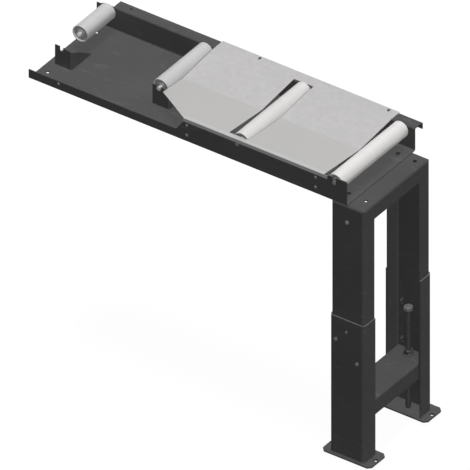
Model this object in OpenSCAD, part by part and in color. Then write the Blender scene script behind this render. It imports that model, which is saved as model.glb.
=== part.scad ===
// Roller conveyor extension: a folded tray with four idle rollers and a V-folded chute,
// carried at its outer end by a portal leg on two screw-jacked feet. Millimetres, +Z up.
// X runs along the tray, from the machine end to the leg. Y runs across it, from the front
// wall to the back wall. The origin is the middle of the machine-end bolt holes, on the
// tray's underside.

/* [Tray] */
// Length of the tray
tray_l = 1050; // [900:10:1300]
// Width of the tray over both walls
tray_w = 322; // [300:1:400]
// Sheet thickness of the tray
tray_t = 2.5; // [2:0.5:4]
// Height of the front wall below the chute
front_wall_h = 74; // [66:1:90]
// Height of the back wall to the top of its flange
back_wall_h = 74; // [66:1:90]
// Height of the low lip in front of the first two rollers
lip_h = 30; // [20:1:45]
// Length of the low lip
lip_l = 487; // [440:1:520]
// Height of the ear that closes the front wall at the leg end
ear_h = 79; // [74:1:90]
// Length of the ear
ear_l = 63; // [58:1:70]
// Width of the back flange outside the wall
flange_w = 35.5; // [30:0.5:50]
// Height of the drop lip on the flange's edge
flange_drop = 22; // [12:1:30]
// Distance from the tray's left end to the start of the flange
flange_start = 55; // [40:1:70]

/* [Rollers] */
// Outer diameter of the rollers
roller_d = 50; // [48:0.5:52]
// Wall of the roller tubes
roller_wall = 2; // [1.5:0.5:2.5]
// Spacing of the roller axes along the tray
roller_pitch = 322; // [300:1:330]
// How far the third axis lies beyond its even place
third_axis_shift = 2; // [0:0.5:4]
// Distance from the tray's left end to the first axis
roller_margin = 42; // [38:1:46]
// Height of the roller axes above the tray's underside
axle_h = 59.5; // [58:0.5:62]
// Width across the flats of the hexagonal axles
axle_af = 11; // [10:0.5:12]
// Gap from the back wall to the roller ends
roller_end_gap = 6.5; // [5:0.5:9]
// Length of the first roller's tube
first_tube_l = 131; // [110:1:135]
// Length of the second roller's tube
second_tube_l = 212; // [200:1:216]
// Length of the third roller's tube
third_tube_l = 294; // [280:1:294]
// Length of the fourth roller's tube
fourth_tube_l = 307; // [290:1:308]

/* [Chute] */
// Sheet thickness of the chute
chute_t = 1.5; // [1:0.5:2]
// Depth of the fold below the chute's front edge
chute_valley = 15.6; // [8:0.2:18]
// Distance of the fold from the front wall
chute_fold_y = 169; // [150:1:185]
// Height of the lip that hangs over the front wall
chute_lip_h = 10.5; // [8:0.5:14]
// Place of the left rib's screws along the tray
chute_screw_left = 522; // [500:1:560]
// Place of the right rib's screws along the tray
chute_screw_right = 947; // [900:1:950]

/* [Leg] */
// Height of the tray's underside above the floor
tray_height = 832; // [760:1:900]
// Width of the leg's channel
leg_w = 108; // [90:1:120]
// Depth of the leg's channel
leg_d = 50; // [44:1:56]
// Sheet thickness of the leg, its sleeves and its brace
leg_t = 3; // [2:0.5:4]
// Outer bend radius of the leg's channel
leg_bend_r = 8.5; // [6:0.5:10]
// Height of the cross brace's top above the floor
brace_h = 182; // [170:1:195]
// Distance between the two bolt holes across the tray
bolt_gauge = 230; // [200:1:240]
// Distance from either end of the tray to its bolt holes
bolt_inset = 28; // [22:1:34]
// Distance from the front wall to the first bolt hole
bolt_front = 50; // [40:1:60]

/* [Feet] */
// Height of the sleeves' top edge above the floor
sleeve_h = 456; // [440:1:480]
// Length of the base plates along the tray
base_l = 162; // [150:1:200]
// Depth of the base plates across the tray
base_d = 80; // [74:1:100]
// Thickness of the base plates
base_t = 5; // [4:0.5:10]
// Corner chamfer of the base plates
base_chamfer = 10; // [4:1:16]
// Distance between the two anchor holes of a base plate
anchor_gauge = 144; // [136:1:156]
// Diameter of the anchor holes
anchor_d = 11; // [9:0.5:13]
// Thread diameter of the jack screws
jack_d = 16; // [14:1:18]
// Height of the jack screws' heads above the floor
jack_h = 338; // [320:1:360]
// How far a foot rises on the leg from the height shown
foot_rise = 60; // [30:1:62]
// How far a foot drops on the leg from the height shown
foot_drop = 12; // [4:1:12]

/* [Hidden] */
$fn = 64;
overrun = 1;
seat_gap = 0.3;
round_gap = 0.05;
nut_gap = 0.1;

paint = [0.33, 0.33, 0.34];
sheet = [0.77, 0.77, 0.77];
zinc = [0.80, 0.80, 0.81];
bright = [0.91, 0.91, 0.90];
steel = [0.66, 0.67, 0.68];
plastic = [0.20, 0.20, 0.21];

// Bolt sizes: shank, clearance hole, head or nut across flats, head height, nut height
m5_d = 5;
m5_hole = 5.5;
m5_head_d = 8.5;
m5_head_h = 2.8;
m5_af = 8;
m5_nut_h = 4;
m6_d = 6;
m6_hole = 6.6;
m6_af = 10;
m6_head_h = 4;
m6_nut_h = 5;
m8_d = 8;
m8_hole = 9;
m8_af = 13;
m8_head_h = 5.3;
washer_t = 1.6;
bolt_tail = 2;

// Tray
tray_bend_r = 5;
lip_slope_l = 30.5;
lip_fillet_r = 6;
back_corner_l = 22;
back_corner_h = 11;
lip_hole_x = 99;
lip_hole_z = 22;
lip_hole_d = 5;
flange_hole_x = 100;
flange_hole_d = 7;
flange_mid_y = tray_w + flange_w / 2;
flange_edge_y = tray_w + flange_w;
inner_back_y = tray_w - tray_t;

// Rollers, numbered from the machine end
roller_x = [for (i = [0:3]) roller_margin + i * roller_pitch + (i == 2 ? third_axis_shift : 0)];
roller_back_y = inner_back_y - roller_end_gap;
tube_front_y = [for (l = [first_tube_l, second_tube_l, third_tube_l, fourth_tube_l])
                roller_back_y - l];
first_stub_l = 6;
second_stub_l = 10;
axle_front_y = [tube_front_y[0] - first_stub_l, tube_front_y[1] - second_stub_l, 0, 0];
axle_play = 0.15;
roller_r = roller_d / 2;
tube_bore_r = roller_r - roller_wall;
crimp_inset = 8.5;
crimp_r = 0.8;
crimp_depth = 0.5;
cap_recess = 5.5;
cap_l = 14;
cap_face_t = 2;
bearing_r = 16;
bearing_w = 11;
outer_land_r = 13.2;
inner_land_r = 9.8;
ball_r = 3;
ball_pitch_r = 11.5;
ball_count = 7;
groove_r = ball_r + nut_gap;
hub_reach = 1;
seal_gap = 0.5;
clip_t = 1;
clip_r = 8;
clip_groove_r = 5;
clip_mouth_w = 7;
axle_tap_depth = 20;

// Notched brackets under the first two rollers
bracket_t = 2.5;
bracket_front_y = 94.5;
bracket_left_reach = 21.5;
bracket_right_reach = 33.5;
bracket_depth = 91;
bracket_prong_h = 66;
bracket_peak_h = 64.6;
bracket_fold_h = 60;
bracket_knee_y = 30.5;
bracket_knee_h = 45.5;
bracket_foot_h = 6;
bracket_bend_r = 5;
notch_w = axle_af + 2 * seat_gap;
notch_flare = 1;
notch_centre_h = axle_h - axle_af * tan(30) / 2 + seat_gap;

// Chute, over the trough from the second roller to the fourth
chute_front_z = front_wall_h + seat_gap + chute_t;
chute_fold_z = chute_front_z - chute_valley;
chute_back_z = back_wall_h + seat_gap + chute_t;
chute_side_gap = 1;
chute_left_x = roller_x[1] + roller_r + chute_side_gap;
chute_corner_y = 76;
chute_corner_l = 122;
chute_right_gap = 9;
chute_right_x = roller_x[3] - roller_r - chute_right_gap;
chute_lip_end_x = tray_l - ear_l - chute_side_gap;
chute_window_left = 38;
chute_window_right = 26;
chute_window_front = 16.5;
chute_slot_l = 13;
chute_slot_shift = 2.75;
chute_slot_inset = 10;
chute_slot_x = [chute_screw_left - chute_slot_shift, chute_screw_right - chute_slot_shift];
chute_slot_y = flange_edge_y - chute_slot_inset;

// Ribs that carry the chute
rib_t = 2;
rib_tab_w = 22;
rib_tab_top_gap = 8;
rib_window_h = 22;
rib_window_l = 90;
rib_screw_low = 23;
rib_screw_high = 55;

// Leg
floor_z = -tray_height;
leg_x = tray_l;
leg_front_y = leg_t + seat_gap;
leg_back_inset = 7.8;
leg_back_y = tray_w - leg_back_inset;
leg_inner_r = leg_bend_r - leg_t;
leg_len_y = leg_back_y - leg_front_y;
brace_z = floor_z + brace_h;
brace_flange = 50;
leg_foot_z = brace_z - brace_flange;
web_screw_drop = 54;
rivet_nut_d = 11;
rivet_nut_flange_d = 15;
rivet_nut_flange_t = 0.8;

// Feet, front then rear
sleeve_front_y = [0, leg_back_y + seat_gap + leg_t - (leg_d + leg_t + seat_gap)];
sleeve_depth = leg_d + leg_t + seat_gap;
sleeve_w = leg_w + 2 * (leg_t + seat_gap);
sleeve_l = sleeve_h - base_t;
base_margin = 6.5;
clamp_x = 35;
front_clamp_high_h = 383;
front_clamp_low_h = 327;
rear_clamp_high_h = 335;
rear_clamp_low_h = 210;
front_clamps = [[-clamp_x, front_clamp_high_h], [clamp_x, front_clamp_low_h]];
rear_clamps = [[-clamp_x, rear_clamp_high_h], [-clamp_x, rear_clamp_low_h]];
set_screw_h = 418;
set_screw_l = 9;
jack_head_h = 10;
jack_af = 24;
jack_nut_h = 13;
jack_washer_d = 30;
jack_washer_t = 3;
jack_y = [leg_front_y + leg_d / 2, leg_back_y - leg_d / 2];

// Shifts tray coordinates, from the tray's left end and front wall, to the part's origin
module at_datum() translate([-bolt_inset, -bolt_front - bolt_gauge / 2, 0]) children();

// A bar along Y with its axis at x, z, from y1 to y2
module bar_y(x, z, y1, y2, d) {
    translate([x, y1, z]) rotate([-90, 0, 0]) cylinder(d = d, h = y2 - y1);
}

// A hexagonal bar along Y with two flats facing along X
module hex_y(x, z, y1, y2, af) {
    translate([x, y1, z]) rotate([-90, 0, 0]) rotate(30)
        cylinder(d = af / cos(30), h = y2 - y1, $fn = 6);
}

// A hexagonal bar along Z
module hex_z(x, y, z1, z2, af) {
    translate([x, y, z1]) cylinder(d = af / cos(30), h = z2 - z1, $fn = 6);
}

// A rectangle with its four corners rounded, its lower left corner at the origin
module round_rect(w, h, r) {
    translate([r, 0]) square([w - 2 * r, h]);
    translate([0, r]) square([w, h - 2 * r]);
    for (x = [r, w - r], y = [r, h - r]) translate([x, y]) circle(r);
}

// A rectangle with only its two lower corners rounded
module round_foot(w, h, r) {
    translate([r, 0]) square([w - 2 * r, h]);
    translate([0, r]) square([w, h - r]);
    for (x = [r, w - r]) translate([x, r]) circle(r);
}

// A profile drawn in Y and Z, carried along X from x1 to x2
module along_x(x1, x2) {
    translate([x1, 0, 0]) rotate([90, 0, 90]) linear_extrude(x2 - x1) children();
}

// A profile drawn in X and Z, carried along Y from y1 to y2
module along_y(y1, y2) {
    translate([0, y2, 0]) rotate([90, 0, 0]) linear_extrude(y2 - y1) children();
}

// A ring turned about an axis along Y from a profile of radius and distance
module turned_y(x, z, y) {
    translate([x, y, z]) rotate([-90, 0, 0]) rotate_extrude() children();
}

// The tray's floor and walls, the back wall stopping below its flange's bend
module tray_section() {
    difference() {
        round_foot(tray_w, ear_h, tray_bend_r);
        translate([tray_t, tray_t])
            round_foot(tray_w - 2 * tray_t, ear_h, tray_bend_r - tray_t);
        translate([tray_w / 2, back_wall_h - tray_bend_r]) square([tray_w, ear_h]);
    }
}

module flange_section() {
    w = flange_w + tray_t;
    translate([inner_back_y, back_wall_h]) mirror([0, 1]) difference() {
        round_foot(w, flange_drop, tray_bend_r);
        translate([tray_t, tray_t])
            round_foot(w - 2 * tray_t, flange_drop, tray_bend_r - tray_t);
    }
}

// What is cut away above the front wall, in X and Z, with a round foot to its slope
module front_wall_cut() {
    rise = atan2(front_wall_h - lip_h, lip_slope_l);
    fillet_l = lip_fillet_r * tan(rise / 2);
    top = ear_h + overrun;
    polygon([[-overrun, lip_h], [lip_l - fillet_l, lip_h],
             [lip_l + fillet_l * cos(rise), lip_h + fillet_l * sin(rise)],
             [lip_l + lip_slope_l, front_wall_h], [tray_l - ear_l, front_wall_h],
             [tray_l - ear_l, top], [-overrun, top]]);
    translate([lip_l - fillet_l, lip_h + lip_fillet_r]) circle(lip_fillet_r);
}

// The top of the back wall before the flange starts, its corner cut off, in X and Z
module back_wall_end() {
    polygon([[0, lip_h], [flange_start, lip_h], [flange_start, back_wall_h],
             [back_corner_l, back_wall_h], [0, back_wall_h - back_corner_h]]);
}

// Slot for a hexagonal axle, open to the top of the wall, in X and Z
module axle_slot() {
    half = axle_af / 2 + axle_play;
    corner = half * tan(30);
    polygon([[0, axle_h - 2 * corner], [half, axle_h - corner], [half, 2 * ear_h],
             [-half, 2 * ear_h], [-half, axle_h - corner]]);
}

module tray() {
    color(paint) at_datum() difference() {
        union() {
            along_x(0, tray_l) tray_section();
            along_x(flange_start, tray_l) flange_section();
            along_y(inner_back_y, tray_w) back_wall_end();
        }
        along_y(-overrun, tray_w / 2) front_wall_cut();
        for (i = [2, 3]) translate([roller_x[i], 0, 0])
            along_y(-overrun, tray_t + overrun) axle_slot();
        for (x = roller_x) bar_y(x, axle_h, inner_back_y - overrun, tray_w + overrun, m8_hole);
        for (x = [bolt_inset, tray_l - bolt_inset], y = [0, bolt_gauge])
            translate([x, bolt_front + y, -overrun])
                cylinder(d = x < tray_l / 2 ? m8_hole : rivet_nut_d, h = tray_t + 2 * overrun);
        bar_y(lip_hole_x, lip_hole_z, -overrun, tray_t + overrun, lip_hole_d);
        translate([flange_hole_x, flange_mid_y, back_wall_h - tray_t - overrun])
            cylinder(d = flange_hole_d, h = tray_t + 2 * overrun);
        for (x = [chute_screw_left, chute_screw_right]) {
            for (z = [rib_screw_low, rib_screw_high]) {
                bar_y(x, z, -overrun, tray_t + overrun, m5_hole);
                bar_y(x, z, inner_back_y - overrun, tray_w + overrun, m5_hole);
            }
        }
        for (x = chute_slot_x) translate([x, chute_slot_y, back_wall_h - tray_t - overrun])
            cylinder(d = m5_hole, h = tray_t + 2 * overrun);
    }
}

// Plate with a notch for the axle, and a gusset folded back along its right side
module roller_bracket(axis_x) {
    left = -bracket_left_reach;
    right = bracket_right_reach;
    notch_r = notch_w / 2;
    color(paint) at_datum() translate([axis_x, bracket_front_y, tray_t]) difference() {
        linear_extrude(bracket_prong_h) difference() {
            translate([left, 0]) union() {
                translate([0, 0]) square([right - left - bracket_bend_r, bracket_t]);
                translate([right - left - bracket_t, bracket_bend_r])
                    square([bracket_t, bracket_depth - bracket_bend_r]);
                intersection() {
                    translate([right - left - bracket_bend_r, 0])
                        square(bracket_bend_r);
                    difference() {
                        translate([right - left - bracket_bend_r, bracket_bend_r])
                            circle(bracket_bend_r);
                        translate([right - left - bracket_bend_r, bracket_bend_r])
                            circle(bracket_bend_r - bracket_t);
                    }
                }
            }
        }
        along_y(-overrun, bracket_bend_r) translate([0, -tray_t]) union() {
            polygon([[notch_r, bracket_peak_h], [notch_r + notch_flare, bracket_peak_h],
                     [right, bracket_fold_h], [right + overrun, bracket_fold_h],
                     [right + overrun, bracket_prong_h + tray_t + overrun],
                     [notch_r, bracket_prong_h + tray_t + overrun]]);
            translate([left - overrun, bracket_prong_h])
                square([right - left + 2 * overrun, tray_t + overrun]);
            translate([-notch_r, notch_centre_h]) square([notch_w, bracket_prong_h]);
            translate([0, notch_centre_h]) circle(notch_r);
        }
        along_x(right - bracket_bend_r - overrun, right + overrun) translate([0, -tray_t])
            polygon([[-overrun, bracket_fold_h], [0, bracket_fold_h],
                     [bracket_knee_y, bracket_knee_h],
                     [bracket_depth, bracket_foot_h],
                     [bracket_depth + overrun, bracket_foot_h],
                     [bracket_depth + overrun, bracket_prong_h + tray_t + overrun],
                     [-overrun, bracket_prong_h + tray_t + overrun]]);
    }
}

// Hexagon screws with washers that hold the axles to the back wall
module axle_screws() {
    color(steel) at_datum() for (x = roller_x) {
        bar_y(x, axle_h, tray_w, tray_w + washer_t, 2 * m8_d);
        hex_y(x, axle_h, tray_w + washer_t, tray_w + washer_t + m8_head_h, m8_af);
        bar_y(x, axle_h, inner_back_y - axle_tap_depth + bolt_tail, tray_w + washer_t, m8_d);
    }
}

// What is cut off the chute, seen from above: its left front corner, and all but the lip
// beyond its right edge
module chute_panel_cut() {
    front = -seat_gap - chute_t - overrun;
    back = flange_edge_y + overrun;
    polygon([[chute_left_x - overrun, front], [chute_left_x + chute_corner_l, front],
             [chute_left_x + chute_corner_l, 0], [chute_left_x, chute_corner_y],
             [chute_left_x - overrun, chute_corner_y]]);
    polygon([[chute_right_x, -seat_gap], [chute_lip_end_x + overrun, -seat_gap],
             [chute_lip_end_x + overrun, back], [chute_right_x, back]]);
}

// The chute's section in Y and Z: a hanging lip, two sloping panels and a flat edge
module chute_section(t) {
    front_y = -seat_gap - chute_t;
    polygon([[front_y, chute_front_z - chute_lip_h], [front_y + t, chute_front_z - chute_lip_h],
             [front_y + t, chute_front_z - t], [0, chute_front_z - t],
             [chute_fold_y, chute_fold_z - t], [inner_back_y, chute_back_z - t],
             [flange_edge_y, chute_back_z - t], [flange_edge_y, chute_back_z],
             [inner_back_y, chute_back_z], [chute_fold_y, chute_fold_z],
             [0, chute_front_z], [front_y, chute_front_z]]);
}

module chute() {
    color(sheet) at_datum() difference() {
        along_x(chute_left_x, chute_lip_end_x) chute_section(chute_t);
        translate([0, 0, chute_fold_z - roller_d]) linear_extrude(2 * roller_d)
            chute_panel_cut();
        translate([roller_x[2] - chute_window_left, chute_window_front, 0])
            cube([chute_window_left + chute_window_right,
                  inner_back_y - chute_window_front + tray_t, 2 * back_wall_h]);
        for (x = chute_slot_x)
            translate([x, chute_slot_y, back_wall_h]) linear_extrude(roller_d) union() {
                translate([-m5_hole / 2, (m5_hole - chute_slot_l) / 2])
                    square([m5_hole, chute_slot_l - m5_hole]);
                for (side = [-1, 1])
                    translate([0, side * (chute_slot_l - m5_hole) / 2]) circle(d = m5_hole);
            }
    }
}

// A plate across the trough under the chute, with a tab folded at each wall
module chute_rib(x) {
    tab_top = chute_front_z - chute_t - rib_tab_top_gap;
    front = tray_t + seat_gap;
    back = inner_back_y - seat_gap;
    foot = tray_t + seat_gap;
    under = chute_t + seat_gap;
    color(paint) at_datum() difference() {
        union() {
            along_x(x - rib_tab_w / 2, x - rib_tab_w / 2 + rib_t)
                polygon([[front, foot + tray_bend_r], [front + tray_bend_r, foot],
                         [back - tray_bend_r, foot], [back, foot + tray_bend_r],
                         [back, tab_top], [back - rib_tab_top_gap, chute_fold_z - under
                          + (chute_back_z - chute_fold_z)
                          * (back - rib_tab_top_gap - chute_fold_y) / (inner_back_y - chute_fold_y)],
                         [chute_fold_y, chute_fold_z - under],
                         [front + rib_tab_top_gap, chute_front_z - under - chute_valley
                          * (front + rib_tab_top_gap) / chute_fold_y],
                         [front, tab_top]]);
            for (y = [front, back - rib_t])
                translate([x - rib_tab_w / 2, y, foot + tray_bend_r])
                    cube([rib_tab_w, rib_t, tab_top - foot - tray_bend_r]);
        }
        for (side = [-1, 1])
            translate([x - rib_tab_w / 2 - overrun, chute_fold_y + side * rib_window_l - rib_window_l / 2,
                       foot + rib_window_h / 2])
                cube([rib_t + 2 * overrun, rib_window_l, rib_window_h]);
        for (z = [rib_screw_low, rib_screw_high], y = [front, back - rib_t])
            bar_y(x, z, y - overrun, y + rib_t + overrun, m5_hole);
    }
}

// Pan-head screws through the walls into the ribs' tabs
module rib_screws() {
    inner = tray_t + seat_gap + rib_t + m5_nut_h + bolt_tail;
    color(steel) at_datum()
        for (x = [chute_screw_left, chute_screw_right], z = [rib_screw_low, rib_screw_high]) {
            bar_y(x, z, -m5_head_h, 0, m5_head_d);
            bar_y(x, z, 0, inner, m5_d);
            bar_y(x, z, tray_w, tray_w + m5_head_h, m5_head_d);
            bar_y(x, z, tray_w - inner, tray_w, m5_d);
        }
}

module rib_nuts() {
    front = tray_t + seat_gap + rib_t;
    color(steel) at_datum()
        for (x = [chute_screw_left, chute_screw_right], z = [rib_screw_low, rib_screw_high],
             y = [front, tray_w - front - m5_nut_h]) difference() {
            hex_y(x, z, y, y + m5_nut_h, m5_af);
            bar_y(x, z, y - overrun, y + m5_nut_h + overrun, m5_d + nut_gap);
        }
}

// Screws that hold the chute to the flange through its slots
module chute_screws() {
    z = chute_back_z;
    color(steel) at_datum() for (x = chute_slot_x)
        translate([x, chute_slot_y, 0]) {
            translate([0, 0, z]) cylinder(d = m5_head_d, h = m5_head_h);
            translate([0, 0, back_wall_h - tray_t - m5_nut_h - bolt_tail])
                cylinder(d = m5_d, h = z - back_wall_h + tray_t + m5_nut_h + bolt_tail);
        }
}

module chute_nuts() {
    top = back_wall_h - tray_t;
    color(steel) at_datum() for (x = chute_slot_x) difference() {
        hex_z(x, chute_slot_y, top - m5_nut_h, top, m5_af);
        translate([x, chute_slot_y, top - m5_nut_h - overrun])
            cylinder(d = m5_d + nut_gap, h = m5_nut_h + 2 * overrun);
    }
}

// Tube with a shallow groove rolled in near each end, over its bearing housings
module roller_tube(i, shade) {
    front = tube_front_y[i];
    groove_at_r = roller_r - crimp_depth + crimp_r;
    color(shade) at_datum() difference() {
        bar_y(roller_x[i], axle_h, front, roller_back_y, roller_d);
        bar_y(roller_x[i], axle_h, front - overrun, roller_back_y + overrun, 2 * tube_bore_r);
        for (y = [front + crimp_inset, roller_back_y - crimp_inset])
            turned_y(roller_x[i], axle_h, y) translate([groove_at_r, 0]) circle(crimp_r);
    }
}

// Half of a bearing housing's section, from its outer face inwards
module cap_section() {
    skirt_r = tube_bore_r - round_gap;
    seat_r = bearing_r + round_gap;
    bore_r = inner_land_r + seal_gap;
    translate([bore_r, 0]) square([skirt_r - bore_r, cap_face_t]);
    translate([seat_r, 0]) square([skirt_r - seat_r, cap_l]);
}

// Two bearing housings pressed into the tube, a little way in from its ends
module roller_end_caps(i) {
    color(plastic) at_datum() {
        turned_y(roller_x[i], axle_h, tube_front_y[i] + cap_recess) cap_section();
        translate([roller_x[i], roller_back_y - cap_recess, axle_h]) rotate([90, 0, 0])
            rotate_extrude() cap_section();
    }
}

// First face of the bearing at either end, counted along Y
function bearing_y(i) = [tube_front_y[i] + cap_recess + cap_face_t + seat_gap,
                         roller_back_y - cap_recess - cap_face_t - seat_gap - bearing_w];

// Face of each clip that holds a roller's bearings in place, counted along Y
function clip_y(i) = [tube_front_y[i] + cap_recess - hub_reach - round_gap - clip_t,
                      roller_back_y - cap_recess + hub_reach + round_gap];

module outer_rings(i) {
    color(steel) at_datum() for (y = bearing_y(i)) turned_y(roller_x[i], axle_h, y)
        difference() {
            translate([outer_land_r, 0]) square([bearing_r - outer_land_r, bearing_w]);
            translate([ball_pitch_r, bearing_w / 2]) circle(groove_r);
        }
}

module balls(i) {
    color(steel) at_datum() for (y = bearing_y(i), k = [1:ball_count])
        translate([roller_x[i], y + bearing_w / 2, axle_h]) rotate([0, k * 360 / ball_count, 0])
            translate([ball_pitch_r, 0, 0]) sphere(ball_r);
}

// Inner rings with a hexagonal bore, each with a hub that shows in its housing
module inner_rings(i) {
    hub = cap_face_t + seat_gap + hub_reach;
    color(steel) at_datum() for (end = [0, 1]) difference() {
        y = bearing_y(i)[end];
        turned_y(roller_x[i], axle_h, y - (end == 0 ? hub : 0)) difference() {
            square([inner_land_r, bearing_w + hub]);
            translate([ball_pitch_r, bearing_w / 2 + (end == 0 ? hub : 0)]) circle(groove_r);
        }
        hex_y(roller_x[i], axle_h, y - hub - overrun, y + bearing_w + hub + overrun,
              axle_af + 2 * round_gap);
    }
}

module roller_axle(i) {
    color(steel) at_datum() difference() {
        hex_y(roller_x[i], axle_h, axle_front_y[i], inner_back_y, axle_af);
        bar_y(roller_x[i], axle_h, inner_back_y - axle_tap_depth, inner_back_y + overrun,
              m8_d + nut_gap);
        for (y = clip_y(i)) turned_y(roller_x[i], axle_h, y - round_gap)
            translate([clip_groove_r, 0]) square([axle_af, clip_t + 2 * round_gap]);
    }
}

// Open spring clips in the axles' grooves, outside each bearing
module axle_clips() {
    color(steel) at_datum() for (i = [0:len(roller_x) - 1], y = clip_y(i))
        translate([roller_x[i], 0, axle_h]) difference() {
            bar_y(0, 0, y, y + clip_t, 2 * clip_r);
            bar_y(0, 0, y - overrun, y + clip_t + overrun, 2 * (clip_groove_r + round_gap));
            translate([-clip_mouth_w / 2, y - overrun, -clip_r - overrun])
                cube([clip_mouth_w, clip_t + 2 * overrun, clip_r + overrun]);
        }
}

// The portal folded from one channel: its outer block, grown inwards by g on each side
module portal_block(g) {
    r = leg_bend_r - g;
    w = leg_w - 2 * g;
    h = -leg_foot_z;
    x0 = leg_x - w / 2;
    intersection() {
        along_x(x0, x0 + w) translate([leg_front_y + g, -g]) mirror([0, 1])
            round_foot(leg_len_y - 2 * g, h + g, r);
        along_y(leg_front_y + g, leg_back_y - g) translate([x0, -g]) mirror([0, 1])
            round_foot(w, h + g, r);
        translate([x0, leg_front_y + g, leg_foot_z - g]) linear_extrude(h)
            round_rect(w, leg_len_y - 2 * g, r);
    }
}

// Slot in a web for a clamp bolt that rises and drops with its foot
module clamp_slot(x, h, y1, y2) {
    low = floor_z + h - foot_drop - seat_gap;
    high = floor_z + h + foot_rise + seat_gap;
    along_y(y1, y2) translate([leg_x + x, 0]) union() {
        translate([-m6_hole / 2, low]) square([m6_hole, high - low]);
        for (z = [low, high]) translate([0, z]) circle(d = m6_hole);
    }
}

module leg_frame() {
    web = leg_t + overrun;
    color(paint) at_datum() difference() {
        portal_block(0);
        portal_block(leg_t);
        translate([leg_x - leg_w, leg_front_y + leg_d, leg_foot_z - overrun])
            cube([2 * leg_w, leg_len_y - 2 * leg_d, -leg_foot_z - leg_d + overrun]);
        for (side = [-1, 1], y = [0, bolt_gauge])
            translate([leg_x + side * bolt_inset, bolt_front + y, -leg_t - overrun])
                cylinder(d = m8_hole, h = leg_t + 2 * overrun);
        bar_y(leg_x, -web_screw_drop, leg_front_y - overrun, leg_front_y + web, m6_hole);
        for (c = front_clamps) clamp_slot(c[0], c[1], leg_front_y - overrun, leg_front_y + web);
        for (c = rear_clamps) clamp_slot(c[0], c[1], leg_back_y - web, leg_back_y + overrun);
    }
}

// Channel between the posts, its web on top and its ends rounded like the posts' corners
module cross_brace() {
    gap = leg_t + seat_gap;
    w = leg_w - 2 * gap;
    front = leg_front_y + gap;
    back = leg_back_y - gap;
    color(paint) at_datum() difference() {
        intersection() {
            along_y(front, back) translate([leg_x - w / 2, brace_z]) mirror([0, 1]) difference() {
                round_foot(w, brace_flange, leg_inner_r);
                translate([leg_t, leg_t])
                    round_foot(w - 2 * leg_t, brace_flange, leg_inner_r - leg_t / 2);
            }
            translate([leg_x - w / 2, front, brace_z - brace_flange - overrun])
                linear_extrude(brace_flange + 2 * overrun)
                    round_rect(w, back - front, leg_inner_r);
        }
        for (y = jack_y) translate([leg_x, y, brace_z - leg_t - overrun])
            cylinder(d = jack_d + 2 * seat_gap, h = leg_t + 2 * overrun);
    }
}

// Flanged nuts welded to the brace
module jack_nuts() {
    color(steel) at_datum() for (y = jack_y) difference() {
        union() {
            translate([leg_x, y, brace_z]) cylinder(d = jack_washer_d, h = jack_washer_t);
            hex_z(leg_x, y, brace_z, brace_z + jack_washer_t + jack_nut_h, jack_af);
        }
        translate([leg_x, y, brace_z - overrun])
            cylinder(d = jack_d + nut_gap, h = jack_nut_h + jack_washer_t + 2 * overrun);
    }
}

// Bolts from below that hold the tray on the leg, and the rivet nuts that they turn into
module leg_bolts() {
    color(steel) at_datum() for (y = [0, bolt_gauge])
        translate([leg_x - bolt_inset, bolt_front + y, 0]) {
            hex_z(0, 0, -leg_t - washer_t - m8_head_h, -leg_t - washer_t, m8_af);
            translate([0, 0, -leg_t - washer_t]) cylinder(d = 2 * m8_d, h = washer_t);
            translate([0, 0, -leg_t - washer_t])
                cylinder(d = m8_d, h = leg_t + washer_t + tray_t - seat_gap);
        }
}

module leg_rivet_nuts() {
    color(steel) at_datum() for (y = [0, bolt_gauge]) difference() {
        translate([leg_x - bolt_inset, bolt_front + y, 0]) union() {
            cylinder(d = rivet_nut_d - 2 * round_gap, h = tray_t);
            translate([0, 0, tray_t]) cylinder(d = rivet_nut_flange_d, h = rivet_nut_flange_t);
        }
        translate([leg_x - bolt_inset, bolt_front + y, -overrun])
            cylinder(d = m8_d + nut_gap, h = tray_t + rivet_nut_flange_t + 2 * overrun);
    }
}

// A hexagon bolt along Y: its head outside at y, its shank towards dir
module web_bolt(x, z, y, dir, reach) {
    head = y - dir * m6_head_h;
    tip = y + dir * reach;
    root = y - dir * m6_head_h / 2;
    hex_y(x, z, min(head, y), max(head, y), m6_af);
    bar_y(x, z, min(root, tip), max(root, tip), m6_d);
}

// A flanged nut along Y: its seat at y, its body towards dir
module web_nut_body(x, z, y, dir) {
    seat = y + dir * washer_t;
    top = seat + dir * m6_nut_h;
    difference() {
        union() {
            bar_y(x, z, min(y, seat), max(y, seat), 2 * m6_d);
            hex_y(x, z, min(y, top), max(y, top), m6_af);
        }
        bar_y(x, z, min(y, top) - overrun, max(y, top) + overrun, m6_d + nut_gap);
    }
}

module web_screw() {
    reach = leg_t + washer_t + m6_nut_h + bolt_tail;
    color(steel) at_datum() web_bolt(leg_x, -web_screw_drop, leg_front_y, 1, reach);
}

module web_nut() {
    color(steel) at_datum()
        web_nut_body(leg_x, -web_screw_drop, leg_front_y + leg_t, 1);
}

// Outer channel that slides on a post, its web in front (side 0) or behind (side 1)
module sleeve(side, clamps) {
    w = sleeve_w;
    inner_r = leg_bend_r;
    outer_r = leg_bend_r + leg_t;
    x0 = leg_x - w / 2;
    y0 = sleeve_front_y[side];
    web_y = side == 0 ? y0 : y0 + sleeve_depth - leg_t;
    color(paint) at_datum() difference() {
        translate([x0, y0 + side * sleeve_depth, floor_z + base_t]) mirror([0, side, 0])
            linear_extrude(sleeve_l) difference() {
                round_foot(w, sleeve_depth, outer_r);
                translate([leg_t, leg_t]) round_foot(w - 2 * leg_t, sleeve_depth, inner_r);
            }
        for (c = clamps)
            bar_y(leg_x + c[0], floor_z + c[1], web_y - overrun, web_y + leg_t + overrun, m6_hole);
        bar_y(leg_x, floor_z + set_screw_h, web_y - overrun, web_y + leg_t + overrun,
              m6_d + nut_gap);
    }
}

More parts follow.
